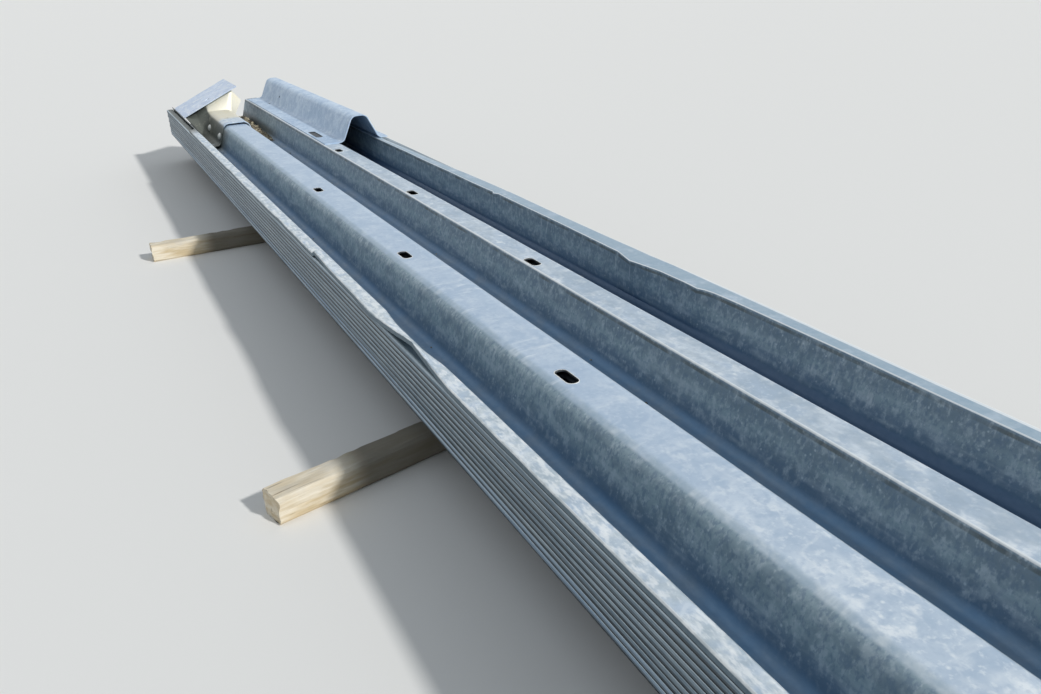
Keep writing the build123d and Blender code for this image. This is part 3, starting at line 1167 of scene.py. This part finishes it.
@dataclass
class Offcut:
    """The short one-wave rail that lies upside down on the far end."""

    top: TopRail
    near_y: float = 840.0
    far_y: float = 2130.0
    corners: tuple[Point, ...] = ((57, 0), (121, 0), (159, 1), (207, 1), (245, 0), (275, 0))
    bends: tuple[float, ...] = (20.0, 24.0, 24.0, 20.0)
    slot: tuple[float, float, float] = (125.0, 24.0, 11.9)
    slot_middle: Point = (77.0, 1035.0)
    rows: int = 88
    straight_piece: float = 12.0
    hole_radius: float = 5.5
    foot_hole: Point = (106.0, 1906.0)
    slope_hole: Point = (138.0, 1822.0)
    slope_hole_rise: float = 0.45
    lifted: float = 0.3
    swell_rise: float = 0.4
    ragged_reach: float = 40.0
    ragged_depth: float = 7.0
    ragged_mm: float = 16.0

    @property
    def low(self) -> float:
        """Height of the middle of the sheet in its feet."""
        return self.top.crest_z + self.top.section.sheet / 2

    def warp(self, across: np.ndarray, along: np.ndarray) -> np.ndarray:
        """Swells the sheet a little and leaves its far end uneven.

        Args:
            across: Places across.
            along: Places along.

        Returns:
            The move of each place.
        """
        moved = np.zeros((*across.shape, 3))
        rise = self.swell_rise * swell(across, along, self.top.swell_mm, 21.0)
        moved[:, :, 2] = self.lifted - rise
        end = np.clip((along - self.far_y + self.ragged_reach) / self.ragged_reach, 0.0, 1.0)
        ragged = np.abs(swell(across, along * 0.0, self.ragged_mm, 5.0))
        moved[:, :, 1] = -self.ragged_depth * end * ragged
        return moved

    def build(
        self, material: bpy.types.Material, edge_material: bpy.types.Material
    ) -> bpy.types.Object:
        """Builds the offcut with the long slot and the two small holes in its left side.

        Args:
            material: The finish.
            edge_material: The finish of the cut edges.

        Returns:
            The offcut.
        """
        rise = self.top.section.depth - self.top.section.sheet
        corners = [(x, self.low + rise * up) for x, up in self.corners]
        path = rounded_path(corners, self.bends, self.straight_piece)
        stations = np.linspace(self.near_y, self.far_y, self.rows)
        sweep = SheetSweep("offcut_sheet", path, stations, self.top.section.sheet)
        offcut = sweep.build(self.warp, material)
        across = 2 * self.hole_radius
        ring = rounded_outline(across, across, self.hole_radius, 4)
        up_slope = Vector((corners[2][0] - corners[1][0], 0, rise)).normalized()
        on_slope = Vector((*self.slope_hole, self.low + rise * self.slope_hole_rise))
        punches = [
            Punch(rounded_outline(*self.slot), Vector((*self.slot_middle, self.low))),
            Punch(ring, on_slope, up_slope),
            Punch(ring, Vector((*self.foot_hole, self.low))),
        ]
        punch(offcut, punches, edge_material)
        return offcut


@dataclass
class BoltHeads:
    """Low domed bolt heads in the splice holes of the end terminal."""

    top: TopRail
    places: tuple[tuple[float, float, float], ...] = (
        (-176.6, 1505.0, 193.8), (-176.6, 1735.0, 193.8),
    )
    outward: tuple[float, float, float] = (-0.954, 0.0, 0.298)
    sheet_half: float = 1.5
    profile: tuple[Point, ...] = ((13.0, -2.0), (13.0, 1.0), (11.5, 4.0), (8.0, 6.4), (4.0, 7.6))
    pieces: int = 20

    def build(self, material: bpy.types.Material) -> bpy.types.Object:
        """Turns the domes about their axes.

        Args:
            material: The finish.

        Returns:
            The bolt heads as one mesh.
        """
        axis = Vector(self.outward).normalized()
        along = Vector((0, 1, 0))
        upward = axis.cross(along)
        points: list[Vector] = []
        faces: list[Sequence[int]] = []
        for place in self.places:
            base = Vector(place) + axis * self.sheet_half
            faces.extend(tube_faces(len(self.profile), self.pieces, len(points)))
            for radius, height in self.profile:
                for k in range(self.pieces):
                    a = 2 * math.pi * k / self.pieces
                    around = along * math.cos(a) * radius + upward * math.sin(a) * radius
                    points.append(base + axis * height + around)
        heads = mesh_object(
            "splice_bolt_heads", np.array([tuple(p) for p in points]) * MM, faces, material
        )
        shade_by_angle(heads, 50.0)
        return heads


# Timbers and silt


@dataclass
class Bearer:
    """A weathered batten below the pile, worn a little inside its CAD outline."""

    name: str
    y: float
    angle_deg: float
    seed: float
    length: float = 1100.0
    width: float = 54.0
    height: float = 48.0
    edge: float = 5.0
    wear: float = 3.0
    grain_mm: Point = (90.0, 9.0)
    chip_mm: Point = (28.0, 30.0)
    ragged_end: float = 5.0
    rows: int = 170
    loaded_half: float = 300.0

    def build(self, material: bpy.types.Material) -> bpy.types.Object:
        """Builds the batten with sunken grain, splintered edges and uneven ends.

        Args:
            material: The finish.

        Returns:
            The batten.
        """
        ring = self._ring()
        turn = Matrix.Rotation(math.radians(self.angle_deg), 3, "Z")
        placed = [
            turn @ self._worn(s, u, z) + Vector((0, self.y, 0))
            for s in np.linspace(-self.length / 2, self.length / 2, self.rows)
            for u, z in ring
        ]
        points = np.array([tuple(p) for p in placed]) * MM
        faces = tube_faces(self.rows, len(ring))
        batten = mesh_object(self.name, points, faces, material)
        shade_by_angle(batten, 24.0)
        return batten

    def _worn(self, s: float, u: float, z: float) -> Vector:
        """Moves a point of the sawn batten to where wear has left it.

        Args:
            s: Place along.
            u: Place across.
            z: Height.

        Returns:
            The worn place.
        """
        (along, across), (chip_along, chip_up) = self.grain_mm, self.chip_mm
        sunk = abs(noise.noise(Vector((s / along, u / across, z / across + self.seed))))
        chip = max(0.0, noise.noise(Vector((s / chip_along, z / chip_up, self.seed + 5))) - 0.1)
        corner = abs(u) / (self.width / 2) * z / self.height
        shrink = 1 - self.wear * (sunk + 2.5 * chip * corner**4) / (self.width / 2)
        end = 0.0
        if abs(s) == self.length / 2:
            end = self.ragged_end * abs(noise.noise(Vector((self.seed, u / 11, z / 11))))
        # It keeps its height where the rails rest on it and where it lies on the ground.
        loaded = z < 0.5 or abs(s) < self.loaded_half
        height = z if loaded else z * (1 - 0.6 * (1 - shrink))
        return Vector((s - math.copysign(end, s), u * shrink, height))

    def _ring(self) -> list[Point]:
        """Gives the section of the batten as closely spaced points.

        Returns:
            Pairs of the place across and the height, anticlockwise.
        """
        w, h, e = self.width / 2, self.height, self.edge
        corners = [
            (-w + e, 0), (w - e, 0), (w, e), (w, h - e),
            (w - e, h), (-w + e, h), (-w, h - e), (-w, e),
        ]
        ring: list[Point] = []
        for index, (x0, z0) in enumerate(corners):
            x1, z1 = corners[(index + 1) % len(corners)]
            pieces = max(1, round(math.hypot(x1 - x0, z1 - z0) / 5))
            shares = [k / pieces for k in range(pieces)]
            ring.extend((x0 + (x1 - x0) * share, z0 + (z1 - z0) * share) for share in shares)
        return ring


@dataclass
class SiltBed:
    """A low bed of silt that lies in the far end of a trough."""

    name: str
    x_range: Point
    y_range: Point
    depth: float
    seed: float
    floor: float
    near_taper: float = 260.0
    far_taper: float = 60.0
    lump_mm: Point = (22.0, 40.0)
    grit_mm: float = 7.0
    columns: int = 16
    rows: int = 110

    def build(self, material: bpy.types.Material) -> bpy.types.Object:
        """Builds the lumpy bed, closed below.

        Args:
            material: The finish.

        Returns:
            The bed.
        """
        (left, right), (near, far) = self.x_range, self.y_range
        (wide, long), grit = self.lump_mm, self.grit_mm
        xs = np.linspace(left, right, self.columns)
        ys = np.linspace(near, far, self.rows)
        points: list[tuple[float, float, float]] = []
        for y in ys:
            for x in xs:
                side = 1 - abs(2 * (x - left) / (right - left) - 1) ** 3
                end = min(1.0, (y - near) / self.near_taper, (far - y) / self.far_taper)
                lump = 0.6 + 0.7 * noise.noise(Vector((x / wide, y / long, self.seed)))
                lump += 0.25 * noise.noise(Vector((x / grit, y / grit, self.seed)))
                points.append((x, y, self.floor + 1.2 + self.depth * max(0.0, side * end * lump)))
        points.extend([(x, y, self.floor + 1.0) for y in ys for x in xs])
        faces = slab_faces(self.rows, self.columns)
        bed = mesh_object(self.name, np.array(points) * MM, faces, material)
        shade_by_angle(bed, 50.0)
        return bed


@dataclass
class Crumbs:
    """Small stones and leaf bits, scattered on a surface by Geometry Nodes."""

    name: str
    size: float
    per_square_metre: float
    seed: int

    def tree(self, material: bpy.types.Material) -> bpy.types.NodeTree:
        """Builds the scatter with its sizes as named inputs.

        Args:
            material: The crumbs' finish.

        Returns:
            The node tree.
        """
        tree = bpy.data.node_groups.new("scattered_crumbs", "GeometryNodeTree")
        for label, kind in (
            ("Geometry", "Geometry"), ("Crumb Size", "Float"),
            ("Crumbs per Square Metre", "Float"), ("Seed", "Int"),
        ):
            kind = f"NodeSocket{kind}"
            tree.interface.new_socket(label, in_out="INPUT", socket_type=kind)
        tree.interface.new_socket("Geometry", in_out="OUTPUT", socket_type="NodeSocketGeometry")
        given = add_node(tree, "NodeGroupInput").outputs
        seed, vector = {"Seed": given["Seed"]}, {"data_type": "FLOAT_VECTOR"}
        spread = {"Mesh": given["Geometry"], "Density": given["Crumbs per Square Metre"], **seed}
        points = add_node(tree, "GeometryNodeDistributePointsOnFaces", inputs=spread).outputs[0]
        ball = {"Radius": given["Crumb Size"], "Subdivisions": 1}
        stone = add_node(tree, "GeometryNodeMeshIcoSphere", inputs=ball).outputs[0]
        turns = {1: (6.28, 6.28, 6.28), **seed}
        turn = add_node(tree, "FunctionNodeRandomValue", vector, turns).outputs[0]
        sizes = {0: (0.3, 0.3, 0.2), 1: (1.5, 1.0, 0.7), **seed}
        size = add_node(tree, "FunctionNodeRandomValue", vector, sizes).outputs[0]
        placed = {"Points": points, "Instance": stone, "Rotation": turn, "Scale": size}
        laid = add_node(tree, "GeometryNodeInstanceOnPoints", inputs=placed).outputs[0]
        real = add_node(tree, "GeometryNodeRealizeInstances", inputs={0: laid}).outputs[0]
        dressed = {"Geometry": real, "Material": material}
        finished = add_node(tree, "GeometryNodeSetMaterial", inputs=dressed).outputs[0]
        add_node(tree, "NodeGroupOutput", inputs={0: finished})
        return tree

    def lay(self, ground: bpy.types.Object, material: bpy.types.Material) -> bpy.types.Object:
        """Scatters the crumbs over a ground mesh.

        Args:
            ground: The surface that carries them.
            material: The finish.

        Returns:
            The crumbs as one plain mesh.
        """
        carrier = bpy.data.objects.new(self.name, ground.data.copy())
        bpy.context.scene.collection.objects.link(carrier)
        modifier = carrier.modifiers.new("crumbs", "NODES")
        modifier.node_group = self.tree(material)
        identifiers = {
            item.name: item.identifier
            for item in modifier.node_group.interface.items_tree
            if item.in_out == "INPUT"
        }
        modifier[identifiers["Crumb Size"]] = self.size * MM
        modifier[identifiers["Crumbs per Square Metre"]] = self.per_square_metre
        modifier[identifiers["Seed"]] = self.seed
        made = bpy.data.meshes.new_from_object(
            carrier.evaluated_get(bpy.context.evaluated_depsgraph_get())
        )
        carrier.modifiers.clear()
        carrier.data = made
        return carrier


# Room, light and camera


@dataclass
class Studio:
    """Plain pale floor, soft light and the camera of the photograph."""

    focal_px: float = 880.0
    image_width_px: float = 1041.0
    sensor_mm: float = 36.0
    camera_m: tuple[float, float, float] = (-0.6786, -2.081, 0.7929)
    right: tuple[float, float, float] = (0.8897, -0.4543, -0.0448)
    back: tuple[float, float, float] = (-0.3983, -0.8204, 0.4102)
    toward_key: tuple[float, float, float] = (0.39, -0.73, 0.56)
    key_strength: float = 2.6
    key_angle_deg: float = 3.5
    fill_strength: float = 0.55
    floor_half_m: float = 45.0
    floor_colour: str = "#E9E7E2"
    fill_colour: str = "#DDE6F0"

    def camera(self) -> None:
        """Places the camera as the vanishing points of the photograph give it."""
        data = bpy.data.cameras.new("camera")
        data.sensor_width = self.sensor_mm
        data.lens = self.focal_px / self.image_width_px * self.sensor_mm
        data.clip_start, data.clip_end = 0.02, 60.0
        camera = bpy.data.objects.new("camera", data)
        back = Vector(self.back).normalized()
        right = Vector(self.right)
        right = (right - back * right.dot(back)).normalized()
        turn = Matrix((right, back.cross(right), back)).transposed().to_4x4()
        camera.matrix_world = Matrix.Translation(self.camera_m) @ turn
        bpy.context.scene.collection.objects.link(camera)
        bpy.context.scene.camera = camera

    def floor(self) -> None:
        """Lays the matt floor, which keeps the pile's shadow."""
        material = bpy.data.materials.new("matt_studio_floor")
        material.use_nodes = True
        tree = material.node_tree
        tree.nodes.clear()
        inputs = {"Base Color": linear(self.floor_colour), "Roughness": 0.95}
        shader = add_node(tree, "ShaderNodeBsdfPrincipled", inputs=inputs)
        add_node(tree, "ShaderNodeOutputMaterial", inputs={0: shader.outputs[0]})
        half = self.floor_half_m
        corners = np.array([(-half, -half, 0), (half, -half, 0), (half, half, 0), (-half, half, 0)])
        mesh_object("floor", corners, [(0, 1, 2, 3)], material)

    def light(self) -> None:
        """Sets the key light, the soft fill and the white background."""
        key = bpy.data.lights.new("key", "SUN")
        key.energy = self.key_strength
        key.angle = math.radians(self.key_angle_deg)
        lamp = bpy.data.objects.new("key", key)
        lamp.rotation_euler = Vector(self.toward_key).to_track_quat("Z", "Y").to_euler()
        bpy.context.scene.collection.objects.link(lamp)
        world = bpy.data.worlds.new("studio")
        world.use_nodes = True
        tree = world.node_tree
        tree.nodes.clear()
        rays = add_node(tree, "ShaderNodeLightPath").outputs
        larger = {"operation": "MAXIMUM"}
        seen = rays["Is Camera Ray"]
        for name in ("Is Glossy Ray", "Is Transmission Ray"):
            seen = add_node(tree, "ShaderNodeMath", larger, {0: seen, 1: rays[name]}).outputs[0]
        soft = {"Color": linear(self.fill_colour), "Strength": self.fill_strength}
        fill = add_node(tree, "ShaderNodeBackground", inputs=soft).outputs[0]
        plain = {"Color": (1, 1, 1, 1), "Strength": 1.0}
        white = add_node(tree, "ShaderNodeBackground", inputs=plain).outputs[0]
        both = add_node(tree, "ShaderNodeMixShader", inputs={0: seen, 1: fill, 2: white})
        add_node(tree, "ShaderNodeOutputWorld", inputs={0: both.outputs[0]})
        bpy.context.scene.world = world


# The pile


@dataclass
class Pile:
    """All pieces of the pile, built and dressed in order."""

    nodes: dict[str, Any]
    top: TopRail

    def carry(
        self, piece: bpy.types.Object, node: str | None = None
    ) -> None:
        """Hands a finished piece to the frame.

        Args:
            piece: The piece.
            node: The CAD node that it stands for.
        """
        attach(piece, BODY)
        if node:
            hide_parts(node)
        LOG.info("built %s with %d faces", piece.name, len(piece.data.polygons))

    def dress(self, names: Sequence[str], material: bpy.types.Material) -> None:
        """Gives carried-over nodes their finish.

        Args:
            names: The nodes.
            material: The finish.
        """
        for name in names:
            self.nodes[name].data.materials.clear()
            self.nodes[name].data.materials.append(material)
            LOG.info("dressed %s", name)

    def steel(self) -> None:
        """Builds the rails and dresses the pieces at the far end."""
        top, section = self.top, self.top.section
        rubbed = ToneZinc("rubbed_zinc_edges").build()
        # Cut edges are painted dark, as the shade inside the cuts, with dirt.
        cut = ToneZinc("shaded_dark_zinc_cuts", tone="#2B3338", share=0.88).build()
        top_zinc = TopRailZinc("dulled_zinc_top_rail", floor_mm=top.floor_z, crest_mm=top.crest_z)
        self.carry(top.build(top_zinc.build(), cut), "rail_11")
        self.carry(top.slot_rims(rubbed))
        offcut_zinc = HotDipZinc(
            "dulled_zinc_offcut", pale="#C3D4E5", grey="#9CB4CD", scuff="#CBD9E6"
        )
        self.carry(Offcut(top).build(offcut_zinc.build(), cut), "rail_offcut")
        self.carry(BoltHeads(top).build(rubbed))

        lip_face = section.lip + section.sheet / 2
        first_lip = top.bearer_height + section.depth - lip_face
        nested = NestedRailZinc(
            "shaded_dulled_zinc_nested_rails", first_lip_mm=first_lip, pitch_mm=section.pitch
        )
        self.dress([f"rail_{number:02d}" for number in range(1, 11)], nested.build())
        self.dress(["end_terminal"], TerminalZinc("bleached_zinc_end_terminal").build())
        plate = HotDipZinc("dulled_zinc_plate", pale="#CFDBEB", grey="#B6C6DC", cloud_mm=90.0)
        self.dress(["end_plate"], plate.build())

    def timber(self) -> None:
        """Builds the two battens."""
        for bearer, node in (
            (Bearer("near_batten", y=-740.0, angle_deg=13.7, seed=2.0), "bearer_near"),
            (Bearer("far_batten", y=665.0, angle_deg=0.0, seed=5.0), "bearer_far"),
        ):
            wood = WeatheredTimber(f"softwood_{bearer.name}", math.radians(bearer.angle_deg))
            self.carry(bearer.build(wood.build()), node)

    def silt(self) -> None:
        """Lays the silt beds and the crumbs in the troughs."""
        silt = DriedSilt("dried_silt").build()
        floor = self.top.floor_z + self.top.section.sheet / 2
        beds = (
            SiltBed(
                "silt_second_trough", (-46.0, 28.0), (1480.0, 2130.0),
                depth=34.0, seed=4.0, floor=floor,
            ),
            SiltBed(
                "silt_first_trough", (-236.0, -212.0), (1420.0, 2120.0),
                depth=8.0, seed=8.0, floor=floor,
            ),
        )
        layers = (
            Crumbs("crumbs_second_trough", size=4.5, per_square_metre=3600.0, seed=3),
            Crumbs("crumbs_first_trough", size=4.0, per_square_metre=3600.0, seed=4),
        )
        for bed, crumbs in zip(beds, layers):
            ground = bed.build(silt)
            self.carry(ground)
            self.carry(crumbs.lay(ground, silt))

        # A few pebbles lie all along the troughs.
        strips, half = [(-230.0, -195.0), (-38.0, 20.0)], 1500.0
        corners = [
            (x, y, floor + 1.2)
            for a, b in strips
            for x, y in ((a, -half), (b, -half), (b, half), (a, half))
        ]
        ground = mesh_object(
            "pebble_ground", np.array(corners) * MM, [(0, 1, 2, 3), (4, 5, 6, 7)], silt
        )
        pebbles = Crumbs("sparse_pebbles", size=3.2, per_square_metre=110.0, seed=11)
        self.carry(pebbles.lay(ground, silt))
        bpy.data.objects.remove(ground)


def main() -> None:
    """Builds the scene in order."""
    logging.basicConfig(level=logging.INFO)
    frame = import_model()
    bpy.context.scene.view_settings.view_transform = "Standard"
    studio = Studio()
    studio.camera()
    studio.floor()
    studio.light()
    pile = Pile(frame["nodes"], TopRail(RailSection()))
    pile.steel()
    pile.timber()
    pile.silt()


if __name__ == "__main__":
    main()
